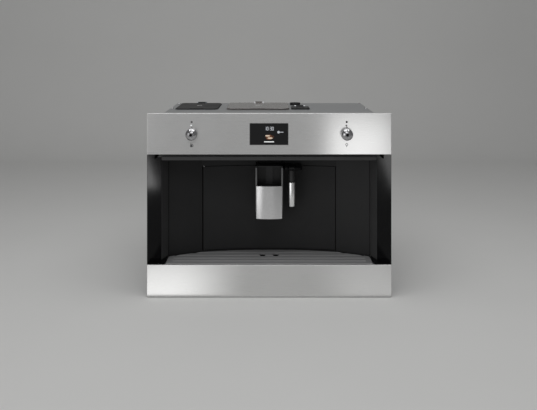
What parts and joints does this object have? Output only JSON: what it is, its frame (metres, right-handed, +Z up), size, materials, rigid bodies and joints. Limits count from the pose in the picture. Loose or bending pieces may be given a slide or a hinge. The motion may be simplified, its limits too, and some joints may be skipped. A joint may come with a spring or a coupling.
{
  "type": "built in coffee machine",
  "caption": "Built-in bean-to-cup coffee machine with a steel control panel, black cup niche, height-adjustable dispenser, wand and drip drawer, on telescopic rails.",
  "frame": {"origin": "under the middle of the machine, on the shelf that its base stands on", "axes": "+X to the viewer's right, +Y from the front to the back, +Z up"},
  "size_m": [0.597, 0.38, 0.4495],
  "materials": {
    "brushed_steel": "fine horizontal brushing, satin",
    "bright_steel": "bright turned steel",
    "chrome": "polished",
    "dark_steel": "dark brushed steel",
    "galvanised_steel": "galvanised sheet, dull",
    "black_gloss": "glossy black",
    "black_satin": "satin black",
    "black_plastic": "textured black",
    "display_black": "black glass",
    "tank_clear": "smoky clear",
    "hopper_clear": "smoked clear",
    "lamp_clear": "clear lens",
    "board_green": "solder mask",
    "cast_aluminium": "die cast",
    "grey_plastic": "moulded grey"
  },
  "bodies": {
    "root": {"installation_base": "galvanised_steel", "rail_outer_left": "galvanised_steel", "rail_outer_right": "galvanised_steel"},
    "slides": {"rail_middle_left": "galvanised_steel", "rail_middle_right": "galvanised_steel"},
    "machine": {"rail_inner_left": "galvanised_steel", "rail_inner_right": "galvanised_steel", "chassis_base": "galvanised_steel", "side_panel_left": "galvanised_steel", "side_panel_right": "galvanised_steel", "rear_panel": "galvanised_steel", "top_cover": "galvanised_steel", "inner_deck": "galvanised_steel", "cover_screws": "bright_steel", "power_inlet": "black_plastic", "control_fascia": "brushed_steel", "fascia_carrier": "black_plastic", "display_glass": "display_black", "display_module": "grey_plastic", "control_board": "board_green", "knob_encoders": "bright_steel", "niche_frame": "black_satin", "cheek_left": "black_gloss", "cheek_right": "black_gloss", "back_panel": "black_satin", "niche_lamps": "lamp_clear", "compartment_liner": "black_plastic", "grounds_container": "black_plastic", "brew_unit": "grey_plastic", "grinder_body": "cast_aluminium", "bean_hopper": "hopper_clear", "pre_ground_chute": "black_plastic", "tank_dock": "black_plastic", "pump": "grey_plastic", "thermoblock": "cast_aluminium", "power_board": "board_green", "door_hinge_pins": "bright_steel"},
    "service_door": {"service_door": "black_satin", "dispenser_guide": "black_gloss", "wand_mount": "black_gloss", "wand_pin": "bright_steel"},
    "dispenser": {"dispenser_cover": "brushed_steel", "dispenser_carriage": "black_plastic"},
    "wand": {"wand_tube": "bright_steel", "wand_grip": "black_plastic"},
    "frother": {"wand_sleeve": "brushed_steel"},
    "drip_drawer": {"drawer_front": "brushed_steel", "drawer_carrier": "black_plastic", "drip_tray": "black_plastic"},
    "drip_grid": {"drip_grid": "dark_steel"},
    "left_push": {"left_plunger": "grey_plastic"},
    "right_push": {"right_plunger": "grey_plastic"},
    "left_dial": {"left_knob": "chrome"},
    "right_dial": {"right_knob": "chrome"},
    "tank": {"water_tank": "tank_clear"},
    "tank_cap": {"tank_lid": "black_plastic"},
    "hopper_cap": {"hopper_lid": "hopper_clear"},
    "chute_cap": {"chute_lid": "black_plastic"},
    "grind_setting": {"grind_dial": "black_plastic"}
  },
  "joints": [
    {"name": "machine_slide", "type": "slide", "parent": "root", "child": "machine", "axis": [0, -1, 0], "range_m": [0, 0.3]},
    {"name": "rail_slide", "type": "slide", "parent": "root", "child": "slides", "axis": [0, -1, 0], "range_m": [0, 0.15]},
    {"name": "door_swing", "type": "hinge", "parent": "machine", "child": "service_door", "pos_m": [-0.1694, -0.0586, 0.19], "axis": [0, 0, 1], "range_deg": [-90, 0]},
    {"name": "dispenser_lift", "type": "slide", "parent": "service_door", "child": "dispenser", "axis": [0, 0, 1], "range_m": [-0.015, 0.04]},
    {"name": "wand_tilt", "type": "hinge", "parent": "service_door", "child": "wand", "pos_m": [0.0576, -0.096, 0.302], "axis": [-1, 0, 0], "range_deg": [0, 35]},
    {"name": "frother_slide", "type": "slide", "parent": "wand", "child": "frother", "axis": [0, 0, 1], "range_m": [0, 0.006]},
    {"name": "drawer_slide", "type": "slide", "parent": "machine", "child": "drip_drawer", "axis": [0, -1, 0], "range_m": [0, 0.13]},
    {"name": "grid_lift", "type": "slide", "parent": "drip_drawer", "child": "drip_grid", "axis": [0, 0, 1], "range_m": [0, 0.05]},
    {"name": "left_press", "type": "slide", "parent": "machine", "child": "left_push", "axis": [0, 1, 0], "range_m": [0, 0.0015], "stiffness_N_per_m": 1500},
    {"name": "left_turn", "type": "hinge", "parent": "left_push", "child": "left_dial", "pos_m": [-0.1893, -0.171, 0.399], "axis": [0, -1, 0], "continuous": true},
    {"name": "right_press", "type": "slide", "parent": "machine", "child": "right_push", "axis": [0, 1, 0], "range_m": [0, 0.0015], "stiffness_N_per_m": 1500},
    {"name": "right_turn", "type": "hinge", "parent": "right_push", "child": "right_dial", "pos_m": [0.1893, -0.171, 0.399], "axis": [0, -1, 0], "continuous": true},
    {"name": "tank_lift", "type": "slide", "parent": "machine", "child": "tank", "axis": [0, 0, 1], "range_m": [0, 0.15]},
    {"name": "tank_lid_hinge", "type": "hinge", "parent": "tank", "child": "tank_cap", "pos_m": [-0.1965, 0.17, 0.4438], "axis": [-1, 0, 0], "range_deg": [0, 95]},
    {"name": "hopper_lid_hinge", "type": "hinge", "parent": "machine", "child": "hopper_cap", "pos_m": [-0.03, 0.174, 0.4445], "axis": [-1, 0, 0], "range_deg": [0, 95]},
    {"name": "chute_lid_hinge", "type": "hinge", "parent": "machine", "child": "chute_cap", "pos_m": [0.085, 0.064, 0.4445], "axis": [-1, 0, 0], "range_deg": [0, 95]},
    {"name": "grind_turn", "type": "hinge", "parent": "machine", "child": "grind_setting", "pos_m": [0.075, 0.137, 0.44], "axis": [0, 0, 1], "range_deg": [-135, 135]}
  ],
  "couplings": [
    {"joint": "rail_slide", "follows": "machine_slide", "ratio": 0.5}
  ]
}
